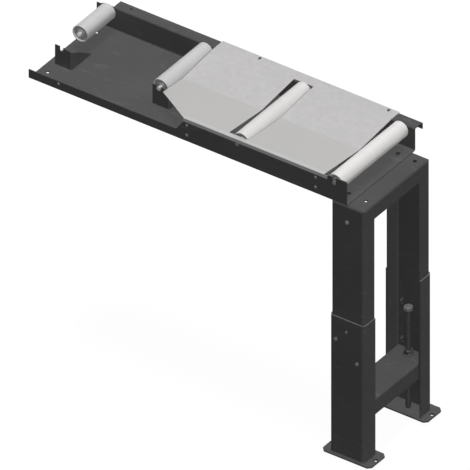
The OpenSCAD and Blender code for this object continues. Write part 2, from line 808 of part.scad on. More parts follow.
module base_plate(side) {
    c = base_chamfer;
    y0 = sleeve_front_y[side] - base_margin;
    color(paint) at_datum() translate([leg_x - base_l / 2, y0, floor_z]) difference() {
        linear_extrude(base_t)
            polygon([[c, 0], [base_l - c, 0], [base_l, c], [base_l, base_d - c],
                     [base_l - c, base_d], [c, base_d], [0, base_d - c], [0, c]]);
        for (dir = [-1, 1]) translate([base_l / 2 + dir * anchor_gauge / 2, base_d / 2, -overrun])
            cylinder(d = anchor_d, h = base_t + 2 * overrun);
    }
}

module clamp_bolts(side, clamps) {
    y = side == 0 ? sleeve_front_y[0] : sleeve_front_y[1] + sleeve_depth;
    dir = 1 - 2 * side;
    reach = 2 * leg_t + 2 * seat_gap + washer_t + m6_nut_h + bolt_tail;
    color(steel) at_datum() for (c = clamps)
        web_bolt(leg_x + c[0], floor_z + c[1], y, dir, reach);
}

module clamp_nuts(side, clamps) {
    dir = 1 - 2 * side;
    web = side == 0 ? leg_front_y + leg_t : leg_back_y - leg_t;
    color(steel) at_datum() for (c = clamps)
        web_nut_body(leg_x + c[0], floor_z + c[1], web + dir * seat_gap, dir);
}

// Grub screw through the sleeve that bears on the post
module set_screw(side) {
    dir = 1 - 2 * side;
    tip = side == 0 ? leg_front_y - round_gap : leg_back_y + round_gap;
    tail = tip - dir * set_screw_l;
    color(steel) at_datum()
        bar_y(leg_x, floor_z + set_screw_h, min(tip, tail), max(tip, tail), m6_d);
}

// Long screw through the brace's nut, its tip on the base plate
module jack_screw(side) {
    tip = floor_z + base_t + seat_gap;
    top = floor_z + jack_h;
    color(steel) at_datum() {
        hex_z(leg_x, jack_y[side], top - jack_head_h, top, jack_af);
        translate([leg_x, jack_y[side], tip])
            cylinder(d = jack_d, h = top - jack_head_h - tip);
    }
}

tray();
roller_bracket(roller_x[0]);  // roller_bracket_1
roller_bracket(roller_x[1]);  // roller_bracket_2
axle_screws();
axle_clips();
chute();
chute_rib(chute_screw_left);  // chute_rib_left
chute_rib(chute_screw_right);  // chute_rib_right
rib_screws();
rib_nuts();
chute_screws();
chute_nuts();
roller_tube(0, zinc);  // roller_1_tube
roller_end_caps(0);  // roller_1_end_caps
outer_rings(0);  // roller_1_outer_rings
balls(0);  // roller_1_balls
inner_rings(0);  // roller_1_inner_rings
roller_axle(0);  // roller_1_axle
roller_tube(1, zinc);  // roller_2_tube
roller_end_caps(1);  // roller_2_end_caps
outer_rings(1);  // roller_2_outer_rings
balls(1);  // roller_2_balls
inner_rings(1);  // roller_2_inner_rings
roller_axle(1);  // roller_2_axle
roller_tube(2, bright);  // roller_3_tube
roller_end_caps(2);  // roller_3_end_caps
outer_rings(2);  // roller_3_outer_rings
balls(2);  // roller_3_balls
inner_rings(2);  // roller_3_inner_rings
roller_axle(2);  // roller_3_axle
roller_tube(3, bright);  // roller_4_tube
roller_end_caps(3);  // roller_4_end_caps
outer_rings(3);  // roller_4_outer_rings
balls(3);  // roller_4_balls
inner_rings(3);  // roller_4_inner_rings
roller_axle(3);  // roller_4_axle
leg_frame();
cross_brace();
jack_nuts();
leg_bolts();
leg_rivet_nuts();
web_screw();
web_nut();
sleeve(0, front_clamps);  // front_sleeve
base_plate(0);  // front_base_plate
clamp_bolts(0, front_clamps);  // front_clamp_bolts
clamp_nuts(0, front_clamps);  // front_clamp_nuts
set_screw(0);  // front_set_screw
jack_screw(0);  // front_jack_screw
sleeve(1, rear_clamps);  // rear_sleeve
base_plate(1);  // rear_base_plate
clamp_bolts(1, rear_clamps);  // rear_clamp_bolts
clamp_nuts(1, rear_clamps);  // rear_clamp_nuts
set_screw(1);  // rear_set_screw
jack_screw(1);  // rear_jack_screw
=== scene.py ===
# %% [markdown]
# Roller conveyor
# This lesson dresses a roller conveyor extension: a long folded tray with four idle rollers, a
# bright V-folded chute between them, and one portal leg whose feet are jacked by long screws.
# The exact solids are loaded first and stay where they are. The lesson then gives every surface
# its finish, and swaps the plain fasteners for ones with chamfers, sockets and threads.

# %% Load the solids
import math

import bmesh
import bpy
from mathutils import Matrix, Vector


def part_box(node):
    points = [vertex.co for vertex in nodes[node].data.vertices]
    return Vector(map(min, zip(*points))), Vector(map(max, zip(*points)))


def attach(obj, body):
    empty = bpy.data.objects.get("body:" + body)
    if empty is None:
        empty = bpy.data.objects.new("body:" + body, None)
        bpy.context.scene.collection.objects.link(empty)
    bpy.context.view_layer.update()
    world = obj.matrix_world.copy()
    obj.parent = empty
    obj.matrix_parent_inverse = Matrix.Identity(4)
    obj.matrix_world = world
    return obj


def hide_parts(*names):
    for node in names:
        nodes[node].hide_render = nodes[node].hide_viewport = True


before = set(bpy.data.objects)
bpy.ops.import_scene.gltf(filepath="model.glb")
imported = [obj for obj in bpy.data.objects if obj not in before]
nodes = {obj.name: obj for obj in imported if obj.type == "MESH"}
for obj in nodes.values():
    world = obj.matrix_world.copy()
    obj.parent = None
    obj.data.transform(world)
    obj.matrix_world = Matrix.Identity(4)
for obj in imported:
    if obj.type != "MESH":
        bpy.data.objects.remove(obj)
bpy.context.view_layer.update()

# %% [markdown]
# Measures
# Blender works in metres. The solids were drawn in millimetres from the tray's left end and its
# front wall, and the model's origin is the middle between the machine-end bolt holes. Each place
# could be converted by hand, but one small function that turns tray millimetres into places
# keeps the numbers below the same as the ones that the solids were drawn with.

# %% Tray measures
BOLT_INSET, ORIGIN_ACROSS = 28.0, 165.0
ROLLER_ALONG = [42.0, 364.0, 688.0, 1008.0]
AXLE_UP, BACK_FACE = 59.5, 322
LEG_ALONG, FLOOR = 1050.0, -832.0
BRACE_TOP = FLOOR + 182.0
JACK_ACROSS = {"front": 28.3, "rear": 289.2}
SCREW_SHOULDER = FLOOR + 328
FRONT, BACK, ABOVE, BELOW = (0, -1, 0), (0, 1, 0), (0, 0, 1), (0, 0, -1)


def tray_place(along, across, up):
    """A place on the model from tray measures in millimetres."""
    return Vector((along - BOLT_INSET, across - ORIGIN_ACROSS, up)) / 1000


print("the leg stands at", tray_place(LEG_ALONG, 0, FLOOR)[:])

# %% [markdown]
# Camera
# The photograph is a parallel projection, so the camera is orthographic. Its direction came from
# the slopes of the tray's long edges, the roller axes and the posts, and its width from the size
# of a pixel. One known point, the model's origin, fixes where the camera stands, so no lens
# shift is needed: the origin lies at pixel 72.2, 53.1.

# %% Camera
PIXELS, MM_PER_PIXEL = 470, 2.70
ORIGIN_PIXEL = (72.2, 53.1)
TURN, TILT = math.radians(35.1), math.radians(34.95)
CAMERA_AWAY, CAMERA_REACH = 4, 20
right = Vector((math.cos(TURN), math.sin(TURN), 0))
look = Vector((-math.sin(TURN) * math.cos(TILT), math.cos(TURN) * math.cos(TILT), -math.sin(TILT)))
up = right.cross(look)
centre = right * (PIXELS / 2 - ORIGIN_PIXEL[0]) - up * (PIXELS / 2 - ORIGIN_PIXEL[1])
centre = centre * MM_PER_PIXEL / 1000

camera_data = bpy.data.cameras.new("camera")
camera_data.type = "ORTHO"
camera_data.ortho_scale = PIXELS * MM_PER_PIXEL / 1000
camera_data.clip_end = CAMERA_REACH
camera = bpy.data.objects.new("camera", camera_data)
bpy.context.scene.collection.objects.link(camera)
camera.location = centre - look * CAMERA_AWAY
camera.rotation_mode = "QUATERNION"
camera.rotation_quaternion = look.to_track_quat("-Z", "Y")
bpy.context.scene.camera = camera
print("camera centre", centre[:], "width", camera_data.ortho_scale)

# %% [markdown]
# Shader maths as plain expressions
# A node graph is easier to read when it is written like arithmetic. The small class below wraps
# one socket, and its operators add Math nodes, so `1 - wear * 0.5` builds the nodes that it says.


# %% Wires
class Wire:
    """One number or colour running through a graph."""

    def __init__(self, graph, socket):
        self.graph, self.socket = graph, socket

    def maths(self, operation, other=None, swap=False):
        pair = (other, self) if swap else (self, other)
        inputs = {i: v for i, v in enumerate(pair) if v is not None}
        return self.graph.node("ShaderNodeMath", {"operation": operation}, inputs)

    def __add__(self, other):
        return self.maths("ADD", other)

    def __radd__(self, other):
        return self.maths("ADD", other, swap=True)

    def __sub__(self, other):
        return self.maths("SUBTRACT", other)

    def __rsub__(self, other):
        return self.maths("SUBTRACT", other, swap=True)

    def __mul__(self, other):
        return self.maths("MULTIPLY", other)

    def __rmul__(self, other):
        return self.maths("MULTIPLY", other, swap=True)

    def __abs__(self):
        return self.maths("ABSOLUTE")

    def most(self, other):
        return self.maths("MAXIMUM", other)

    def fade(self, low, high):
        """0 below low and 1 above high, with a smooth step between them."""
        settings = {"interpolation_type": "SMOOTHSTEP"}
        return self.graph.node("ShaderNodeMapRange", settings, {0: self, 1: low, 2: high})


# %% [markdown]
# Graphs and finishes
# A graph makes any other node in a single call, from its type, its settings and what goes into
# its sockets. A finish is a graph that starts from a material's Principled shader and reads
# places in Object coordinates, which stay on the piece when its body moves. Both could be
# written out node by node, but then every finish would be a page long.


# %% Graphs and finishes
class Graph:
    """A node tree whose nodes are made in single calls."""

    def __init__(self, tree):
        self.tree = tree

    def node(self, kind, settings=None, inputs=None, output=0):
        made = self.tree.nodes.new(kind)
        for key, value in (settings or {}).items():
            setattr(made, key, value)
        for key, value in (inputs or {}).items():
            if isinstance(value, Wire):
                self.tree.links.new(value.socket, made.inputs[key])
            else:
                made.inputs[key].default_value = value
        return Wire(self, made.outputs[output]) if len(made.outputs) else None


class Finish(Graph):
    """A material whose Principled shader is fed by wires."""

    def __init__(self, name, **fixed):
        self.material = bpy.data.materials.new(name)
        self.material.use_nodes = True
        super().__init__(self.material.node_tree)
        self.shader = self.tree.nodes["Principled BSDF"]
        self.place = self.node("ShaderNodeTexCoord", output="Object")
        self.x, self.y, self.z = (
            self.node("ShaderNodeSeparateXYZ", inputs={0: self.place}, output=axis)
            for axis in "XYZ"
        )
        for socket, value in fixed.items():
            self.shader.inputs[socket.replace("_", " ")].default_value = value

    def noise(self, size, detail, stretch=(1, 1, 1)):
        """Grey noise with patches about `size` metres across, drawn out by `stretch`."""
        scale = tuple(1 / (size * s) for s in stretch)
        spot = self.node("ShaderNodeMapping", inputs={0: self.place, "Scale": scale})
        return self.node("ShaderNodeTexNoise", inputs={0: spot, "Scale": 1.0, "Detail": detail})

    def from_line(self, place, keep):
        """Distance from a straight line through place. keep is 0 on the axis it runs along."""
        shift = tuple(-p * k for p, k in zip(place, keep))
        moved = self.node(
            "ShaderNodeMapping", inputs={0: self.place, "Location": shift, "Scale": keep}
        )
        return self.node("ShaderNodeVectorMath", {"operation": "LENGTH"}, {0: moved}, "Value")

    def blend(self, share, first, second):
        """A colour that goes from first to second as share goes from 0 to 1."""
        pair = [c if isinstance(c, Wire) else (*c, 1) for c in (first, second)]
        settings = {"data_type": "RGBA"}
        return self.node("ShaderNodeMix", settings, {0: share, 6: pair[0], 7: pair[1]}, 2)

    def feed(self, **wires):
        for socket, wire in wires.items():
            self.tree.links.new(wire.socket, self.shader.inputs[socket.replace("_", " ")])

    def relief(self, height, depth):
        bump = self.node("ShaderNodeBump", inputs={"Height": height, "Distance": depth})
        self.feed(Normal=bump)


def grey(value, warm=0.0):
    """A near-grey colour, a little warmer where warm is above 0."""
    return (value * (1 + warm), value, value * (1 - warm))


# %% [markdown]
# Dark paint
# The tray, the brackets and the leg are sheet steel under a dark grey powder coat. The real
# finish is satin with a fine orange peel, slightly uneven in tone, and it wears through where
# goods and hands rub: along the top edges of the walls, the outer edges of the flange and the
# beam, and the tops of the sliding sleeves. A wear mask could be painted by hand. Here each worn
# edge is the space within reach of a few planes, because an edge of a folded sheet runs straight.
# A finish without such edges is half rubbed all over, as the small nuts are. Each bolt hole
# is painted dark with a dark ring round it, as painted shade, and dust has settled low on the
# feet.

# %% Dark paint
HALF_RUBBED = 0.5


def powder_coat(name, tone, rubbed, holes=(), floor_dust=False):
    """Paint rubbed on some edges, or a little all over, with painted shade round upright holes.

    Each edge is a dictionary of axis: (place, reach) in metres, and each hole is its place and
    radius.
    """
    coat = Finish(name, Specular_IOR_Level=0.01)
    drift = coat.noise(0.16, 4)
    specks = coat.noise(0.0035, 3)
    rub = None if rubbed else HALF_RUBBED
    for edge in rubbed:
        spot = None
        for axis, (place, reach) in edge.items():
            near = 1 - abs(getattr(coat, axis) - place).fade(reach * 0.7, reach)
            spot = near if spot is None else spot * near
        rub = spot if rub is None else rub.most(spot)
    bare = (rub + coat.noise(0.012, 6) * 0.9 + coat.noise(0.002, 3) * 0.3 - 0.95).fade(0.42, 0.62)
    scuff = coat.noise(0.02, 5, (3.5, 1, 1)).fade(0.58, 0.72) * 0.5
    shade = coat.blend(drift, grey(tone * 0.84), grey(tone * 1.13, 0.008))
    shade = coat.blend(specks.fade(0.5, 0.75) * 0.3, shade, grey(tone * 1.5))
    shade = coat.blend(scuff, shade, grey(tone * 1.45, 0.01))
    for place, radius in holes:
        # Painted shade: a dark disc over each hole and a ring round it, near the hole's height.
        hole_shade = 1 - coat.from_line(place, (1, 1, 0)).fade(radius + 0.0008, radius + 0.0026)
        hole_shade = hole_shade * (1 - abs(coat.z - place.z).fade(0.008, 0.010))
        shade = coat.blend(hole_shade * 0.8, shade, grey(tone * 0.2))
    if floor_dust:
        dust = (1 - (coat.z - FLOOR / 1000).fade(0.002, 0.09)) * coat.noise(0.02, 5)
        shade = coat.blend(dust * 0.3, shade, grey(0.15, 0.02))
    coat.feed(
        Base_Color=coat.blend(bare, shade, grey(0.17, 0.01)),
        Roughness=0.40 + drift * 0.12 + scuff * 0.3 - bare * 0.08,
        Metallic=bare * 0.4,
    )
    coat.relief(coat.noise(0.0024, 2) + scuff * 0.2 - bare * 0.8, 0.00012)
    return coat.material


PAINT_TONE = 0.080
LEG_TONE = PAINT_TONE * 0.94
MACHINE_BOLT, LEG_BOLT, BEAM_BOLT = 28, 1022, 1078
BOLT_ACROSS = (50, 280)
ANCHOR_ALONG, ANCHOR_ACROSS = (978, 1122), (33.5, 297.7)
BOLT_HOLE, ANCHOR_HOLE = 0.0045, 0.0055
FRONT_WALL = tray_place(0, 1.25, 0).y
high_wall = {"z": (0.074, 0.001), "y": (FRONT_WALL, 0.002), "x": (0.452, 0.507)}
front_ear = {"z": (0.079, 0.001), "y": (FRONT_WALL, 0.002)}
flange_edge = {"z": (0.074, 0.001), "y": (tray_place(0, 356, 0).y, 0.003)}
beam_edge = {"z": (0.0, 0.001), "x": (tray_place(1102, 0, 0).x, 0.004)}
sleeve_top = {"z": ((FLOOR + 456) / 1000, 0.0012)}
tray_holes, rivet_holes, beam_holes = (
    [(tray_place(along, across, 0), BOLT_HOLE) for across in BOLT_ACROSS]
    for along in (MACHINE_BOLT, LEG_BOLT, BEAM_BOLT)
)
anchors = [(tray_place(along, across, FLOOR), ANCHOR_HOLE)
           for along in ANCHOR_ALONG for across in ANCHOR_ACROSS]
tray_paint = powder_coat(
    "dark_paint_tray", PAINT_TONE, [high_wall, front_ear, flange_edge], tray_holes
)
nut_paint = powder_coat("dark_paint_nuts", PAINT_TONE, [], rivet_holes)
leg_paint = powder_coat("dark_paint_leg", LEG_TONE, [beam_edge], beam_holes)
foot_paint = powder_coat("dark_paint_foot", LEG_TONE, [sleeve_top], anchors, True)
print("paints made:", [p.name for p in (tray_paint, nut_paint, leg_paint, foot_paint)])

# %% [markdown]
# Bright sheet
# The chute is bare galvanised sheet. Zinc freezes in flat crystals, the spangle, each of which
# reflects a little differently. A photograph of such a sheet could be wrapped round the chute,
# but a Voronoi cell pattern gives crystals of the right size on every fold, and it tints both
# the colour and the roughness. Goods slide along the sheet and leave fine scratches along the
# tray. The front half of the V, which tilts away from the light, is painted a little darker as
# painted shade. The lip's front face is painted darker still as painted shade, and a lighter
# strip along the bend above it is a painted highlight.

# %% Bright sheet
FOLD, BEND, LIP = (tray_place(0, across, 0).y for across in (169, 1, -0.1))
CRYSTALS_PER_METRE = 95.0


def galvanised_sheet():
    zinc = Finish("galvanised_sheet", Metallic=0.12, Specular_IOR_Level=0.3)
    settings = {"feature": "F1"}
    inputs = {0: zinc.place, "Scale": CRYSTALS_PER_METRE, "Randomness": 1.0}
    crystal = zinc.node("ShaderNodeTexVoronoi", settings, inputs, "Color")
    crystal = zinc.node("ShaderNodeSeparateColor", inputs={0: crystal})
    stain = zinc.noise(0.12, 5)
    scratch = zinc.noise(0.0011, 4, (90, 1, 1)).fade(0.60, 0.78)
    shade = zinc.blend(crystal, (0.414, 0.405, 0.409), (0.446, 0.437, 0.441))
    shade = zinc.blend(stain.fade(0.45, 0.8) * 0.2, shade, grey(0.38, 0.006))
    # Painted shade: the front half of the V, which tilts away from the light, is darker.
    front_slope_shade = 1 - (zinc.y - FOLD).fade(-0.001, 0.001)
    shade = zinc.blend(front_slope_shade * 0.8, shade, grey(0.382, 0.012))
    # Painted highlight: a lighter strip along the bend above the lip.
    bend_highlight = 1 - abs(zinc.y - BEND).fade(0.0105, 0.0125)
    shade = zinc.blend(bend_highlight * 0.8, shade, grey(0.435, 0.005))
    # Painted shade: the lip's front face is much darker.
    lip_shade = 1 - (zinc.y - LIP).fade(-0.0002, 0.0002)
    shade = zinc.blend(lip_shade * 0.8, shade, grey(0.24, 0.005))
    zinc.feed(
        Base_Color=zinc.blend(scratch * 0.25, shade, grey(0.52)),
        Roughness=0.44 + crystal * 0.10 + stain * 0.08 - scratch * 0.1,
    )
    zinc.relief(crystal * 0.25 + zinc.noise(0.003, 3) * 0.4 - scratch * 0.5, 0.00008)
    return zinc.material


chute_zinc = galvanised_sheet()
print("sheet made:", chute_zinc.name, "with", len(chute_zinc.node_tree.nodes), "nodes")

# %% [markdown]
# Roller tubes
# Tubes are ground between wheels, which leaves fine rings round them. A wave pattern could draw
# such rings, but they would be too even. Noise that is squeezed hard along the tube and barely
# at all round it gives rings of uneven width. Dirt lies in streaks along the tube. The bore is a
# plainer grey, and a little darker as painted shade inside the tube. The first two rollers are a
# little greyer than the last two in the photograph.


# %% Roller tubes
def ground_tube(name, tone, warm, along):
    """Ring-marked steel for the roller whose axis is `along` millimetres from the tray's end."""
    tube = Finish(name, Metallic=0.2, Specular_IOR_Level=0.35)
    rings = tube.noise(0.0016, 4, (60, 1, 60))
    cloud = tube.noise(0.05, 4)
    from_axis = tube.from_line(tray_place(along, 0, AXLE_UP), (1, 0, 1))
    # Inside the bore the colour is plainer and a little darker, as painted shade in the tube.
    bore = 1 - from_axis.fade(0.0228, 0.0236)
    dirt = tube.noise(0.009, 6, (1, 5, 1)).fade(0.58, 0.8)
    shade = tube.blend(cloud, grey(tone * 0.93, warm), grey(tone * 1.05, warm))
    shade = tube.blend(rings.fade(0.35, 0.7) * 0.35, shade, grey(tone * 1.12, warm))
    shade = tube.blend(dirt * 0.22, shade, grey(tone * 0.62, 0.015))
    tube.feed(
        Base_Color=tube.blend(bore * 0.5, shade, grey(tone * 0.9)),
        Roughness=0.34 + rings * 0.12 + dirt * 0.15 + bore * 0.1,
    )
    tube.relief(rings * 0.7 + cloud * 0.1, 0.00005)
    return tube.material


TUBE_TONES = [(0.495, 0.0), (0.485, 0.0), (0.60, 0.012), (0.66, 0.012)]
tube_steels = [ground_tube("tube_steel_%d" % (i + 1), *TUBE_TONES[i], along)
               for i, along in enumerate(ROLLER_ALONG)]
print("tubes made:", [steel.name for steel in tube_steels])

# %% [markdown]
# Small steel and plastic
# Most fasteners are zinc plated and slightly blotchy. The screw in the front post's web is a
# lighter copy, as a painted highlight. The axles of the first two rollers are bright, and those of
# the last two are a darker grey, as painted shade on their recessed ends. The bearings' rings are
# bright, the bolts under the leg's top plate are black, and the bearing housings are a grey
# plastic with a moulded grain. Each could be a finish of its own, but plated, bright and black
# steel differ only in tone and gloss, so they share one recipe. The jack screws have a second one:
# their threads are black with oil, and spanners have worn their heads bright.


# %% Small steel and plastic
def plated_steel(name, tone, roughness, metallic=0.3):
    steel = Finish(name, Metallic=metallic, Specular_IOR_Level=0.25)
    blotch = steel.noise(0.006, 5)
    grain = steel.noise(0.0009, 3, (1, 1, 3))
    shade = steel.blend(blotch, grey(tone * 0.85, 0.01), grey(tone * 1.12, -0.004))
    steel.feed(
        Base_Color=steel.blend(grain.fade(0.6, 0.85) * 0.35, shade, grey(tone * 0.6, 0.02)),
        Roughness=roughness + blotch * 0.16,
    )
    steel.relief(grain + blotch * 0.3, 0.00003)
    return steel.material


def oiled_thread(name, shoulder):
    """Black oily thread under a head that spanners have worn bright, above the shoulder."""
    steel = Finish(name, Specular_IOR_Level=0.08)
    oil = steel.noise(0.012, 4)
    chips = steel.noise(0.0018, 4)
    head = (steel.z - shoulder).fade(-0.001, 0.001)
    thread = steel.blend(oil, grey(0.022, 0.02), grey(0.038))
    worn = steel.blend(chips.fade(0.35, 0.65), grey(0.10, 0.01), grey(0.20))
    steel.feed(
        Base_Color=steel.blend(head, thread, worn),
        Roughness=0.46 - oil * 0.1 + head * 0.1,
        Metallic=head * 0.3,
    )
    steel.relief(chips + oil * 0.3, 0.00004)
    return steel.material


def moulded_plastic(name, tone):
    plastic = Finish(name, Specular_IOR_Level=0.45)
    grain = plastic.noise(0.0007, 3)
    scuff = plastic.noise(0.008, 5).fade(0.55, 0.8)
    plastic.feed(
        Base_Color=plastic.blend(scuff * 0.4, grey(tone), grey(tone * 1.25, 0.01)),
        Roughness=0.52 + grain * 0.14,
    )
    plastic.relief(grain, 0.00006)
    return plastic.material


bolt_zinc = plated_steel("bolt_zinc", 0.14, 0.36)
# Lighter tone for the web screw alone: a painted highlight.
web_zinc_highlight = plated_steel("web_zinc_highlight", 0.20, 0.36)
dark_steel = plated_steel("dark_steel", 0.07, 0.40)
black_steel = plated_steel("black_steel", 0.02, 0.50, 0.0)
axle_steel = plated_steel("axle_steel", 0.80, 0.26, 0.5)
# Darker grey for the last two axles: painted shade on their recessed ends.
axle_shade_grey = plated_steel("axle_shade_grey", 0.15, 0.40)
ring_steel = plated_steel("ring_steel", 0.60, 0.22, 0.5)
screw_steel = oiled_thread("screw_steel", SCREW_SHOULDER / 1000)
housing_plastic = moulded_plastic("housing_plastic", 0.22)
print("materials so far:", len(bpy.data.materials))

# %% [markdown]
# Dress the solids
# Each solid keeps its own shape and takes one of the finishes. It could be copied and smoothed,
# but its triangles are loose and its shape is exact, so only its material changes. The node's
# name says what it is made of.


# %% Dress the solids
def finish_for(name):
    if name.startswith("roller_") and name[7].isdigit():
        number = int(name[7])
        if name.endswith("tube"):
            return tube_steels[number - 1]
        if name.endswith("end_caps"):
            return housing_plastic
        if name.endswith("axle"):
            return axle_steel if number < 3 else axle_shade_grey
        return ring_steel
    if name == "chute":
        return chute_zinc
    if name in ("tray", "chute_rib_left", "chute_rib_right") or name.startswith("roller_bracket"):
        return tray_paint
    if name in ("leg_frame", "cross_brace"):
        return leg_paint
    if name.endswith("sleeve") or name.endswith("base_plate"):
        return foot_paint
    if name == "leg_rivet_nuts":
        return nut_paint
    return dark_steel if name.endswith("clamp_nuts") else bolt_zinc


for name, solid in nodes.items():
    solid.data.materials.clear()
    solid.data.materials.append(finish_for(name))
print("dressed", len(nodes), "solids")

# %% [markdown]
# Turned and hexagonal shapes
# Every screw, nut and washer here is a stack of rings round one axis. A ring is a circle whose
# points are then moved: kept round, pushed out to a hexagon, or pushed out and lowered towards
# the corners. The last one is what turning a chamfer on a hexagon bar gives, and it makes the
# curved arcs on each flat of a real bolt head. A bevel on a six-sided cylinder would be quicker,
# but it can't make those arcs. Neighbouring rings are bridged with faces.

# %% Rings
RING_POINTS = 48
CORNER_UP = math.radians(30)
SIXTH_TURN = math.pi / 3
CHAMFER_SLOPE = math.tan(math.pi / 6)


def round_ring(radius, height):
    return lambda angle: (radius, height)


def hex_ring(half_flats, height, turned_at=None):
    """A hexagon, or its upper edge where a 30 degree chamfer starts at radius turned_at."""

    def place(angle):
        radius = half_flats / math.cos(angle % SIXTH_TURN - SIXTH_TURN / 2)
        drop = 0 if turned_at is None else (radius - turned_at) * CHAMFER_SLOPE
        return radius, height - drop

    return place


def open_edges(loop):
    """The edges round a ring of verts that no face uses yet."""
    return list({edge for vert in loop for edge in vert.link_edges if len(edge.link_faces) == 0})


def bridge_rings(shape, loops, through=False):
    """Join each ring to the next, and close the shape.

    A shape that goes through has its last ring joined to its first. Any other gets two caps.
    """
    edges = [open_edges(loop) for loop in (loops + loops[:1] if through else loops)]
    for lower, upper in zip(edges, edges[1:]):
        bmesh.ops.bridge_loops(shape, edges=lower + upper)
    if not through:
        for loop in (loops[0], loops[-1]):
            bmesh.ops.contextual_create(shape, geom=loop)


def stack(shape, rings, seat, outward=ABOVE, through=False):
    """Rings in millimetres, bridged into one closed solid that stands on seat.

    On the side walls a hexagon is turned so that one corner points up, like the solids' ones.
    """
    before = set(shape.verts)
    loops = []
    for ring in rings:
        made = bmesh.ops.create_circle(shape, segments=RING_POINTS, radius=1)["verts"]
        for vert in made:
            angle = math.atan2(vert.co.y, vert.co.x)
            radius, height = ring(angle)
            vert.co = (radius * math.cos(angle), radius * math.sin(angle), height)
        loops.append(made)
    bridge_rings(shape, loops, through)
    fresh = [v for v in shape.verts if v not in before]
    aim = Vector(ABOVE).rotation_difference(Vector(outward)).to_matrix().to_4x4()
    if outward[1]:
        aim = aim @ Matrix.Rotation(CORNER_UP, 4, "Z")
    move = Matrix.Translation(seat) @ aim @ Matrix.Scale(0.001, 4)
    bmesh.ops.transform(shape, matrix=move, verts=fresh)


print("a ring has", RING_POINTS, "points")

# %% [markdown]
# Finished pieces
# A shape becomes a piece when it has a mesh, a finish and a body to ride on. Edges sharper than
# 32 degrees stay crisp and the rest are smooth, so a chamfer reads as a chamfer and a turned
# face as round. Auto smooth by modifier would do the same, but marked edges need no modifier.
# A piece that stands for a solid prints by how much it stands out of that solid's box.

# %% Make pieces
CRISP = math.radians(32)


def make_piece(name, shape, finish, body, instead_of=()):
    """Turn the shape into an object that moves with its body, and print its faces."""
    bmesh.ops.recalc_face_normals(shape, faces=shape.faces)
    for face in shape.faces:
        face.smooth = True
    for edge in shape.edges:
        edge.smooth = len(edge.link_faces) == 2 and edge.calc_face_angle(0) < CRISP
    mesh = bpy.data.meshes.new(name)
    shape.to_mesh(mesh)
    shape.free()
    mesh.materials.append(finish)
    made = bpy.data.objects.new(name, mesh)
    bpy.context.scene.collection.objects.link(made)
    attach(made, body)
    for node in instead_of:
        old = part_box(node)
        corners = [Vector(c) for c in made.bound_box]
        new = [Vector(map(pick, zip(*corners))) for pick in (min, max)]
        out = max(max(old[0][i] - new[0][i], new[1][i] - old[1][i]) for i in range(3))
        print(name, "stands out of", node, "by %.3f mm" % (out * 1000))
    if instead_of:
        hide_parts(*instead_of)
    print(name, len(mesh.polygons), "faces")


# %% [markdown]
# Jack screws
# The leg is lifted by two long M16 screws that stand on the base plates and turn in nuts on the
# cross brace. A real thread is one groove that winds up the bar. A bump pattern could draw it,
# but the screw stands free against the light, where its outline shows. The profile of one pitch
# is spun round the axis and lifted by one pitch, which makes one turn. Copies of it are stacked,
# twice as many each time, and each turn closes on the last one. A plane cuts both ends flat, and
# the point and the head are added.

# %% Jack screws
PITCH, CREST, ROOT = 2.0, 8.0, 6.8
STEPS_PER_TURN = 24
WELD_WITHIN = 0.002
SCREW_TIP, POINT_TALL = FLOOR + 5.3, 4


def threaded_bar(shape, low, high):
    """A bar with a right-hand thread between two heights in millimetres, on the Z axis."""
    teeth = [(ROOT, 0), (CREST, PITCH * 0.42), (CREST, PITCH * 0.58), (ROOT, PITCH)]
    verts = [shape.verts.new((radius, 0, low - PITCH + rise)) for radius, rise in teeth]
    edges = [shape.edges.new(pair) for pair in zip(verts, verts[1:])]
    wanted = math.ceil((high - low) / PITCH) + 2
    bmesh.ops.spin(
        shape, geom=verts + edges, axis=ABOVE, cent=(0, 0, 0),
        dvec=(0, 0, PITCH / STEPS_PER_TURN), angle=math.tau,
        steps=STEPS_PER_TURN, use_merge=False,
    )
    turns = 1
    while turns < wanted:
        made = bmesh.ops.duplicate(shape, geom=shape.verts[:] + shape.edges[:] + shape.faces[:])
        copied = [g for g in made["geom"] if isinstance(g, bmesh.types.BMVert)]
        bmesh.ops.translate(shape, verts=copied, vec=(0, 0, PITCH * turns))
        turns *= 2
    bmesh.ops.remove_doubles(shape, verts=shape.verts, dist=WELD_WITHIN)
    for height, side in ((low, -1), (high, 1)):
        cut = bmesh.ops.bisect_plane(
            shape, geom=shape.verts[:] + shape.edges[:] + shape.faces[:],
            plane_co=(0, 0, height), plane_no=(0, 0, side), clear_outer=True,
        )
        rim = [g for g in cut["geom_cut"] if isinstance(g, bmesh.types.BMEdge)]
        bmesh.ops.edgeloop_fill(shape, edges=rim)


for side, across in JACK_ACROSS.items():
    shape = bmesh.new()
    threaded_bar(shape, SCREW_TIP + POINT_TALL, SCREW_SHOULDER + 1)
    place = tray_place(LEG_ALONG, across, 0)
    bmesh.ops.transform(
        shape, matrix=Matrix.Translation(place) @ Matrix.Scale(0.001, 4), verts=shape.verts
    )
    point = [round_ring(5.2, 0), round_ring(6.2, 1), round_ring(6.2, 6)]
    stack(shape, point, tray_place(LEG_ALONG, across, SCREW_TIP))
    head = [hex_ring(12, 0), hex_ring(12, 10, 11.4), round_ring(11.4, 10)]
    stack(shape, head, tray_place(LEG_ALONG, across, SCREW_SHOULDER))
    make_piece(side + "_threaded_screw", shape, screw_steel, side + "_screw",
               [side + "_jack_screw"])

# %% [markdown]
# Hexagon bolts
# Each bolt has a head with a turned chamfer, a thin washer face under it, and a shank with a
# small lead-in. Each size could be modelled by itself, but all of them are the same stack of
# rings with other numbers.

# %% Hexagon bolts
M8 = {"flats": 13, "head": 5.3, "shank": 8}
M6 = {"flats": 10, "head": 4, "shank": 6}
M8_WASHER = {"hole": 8.2, "wide": 16, "thick": 1.6}


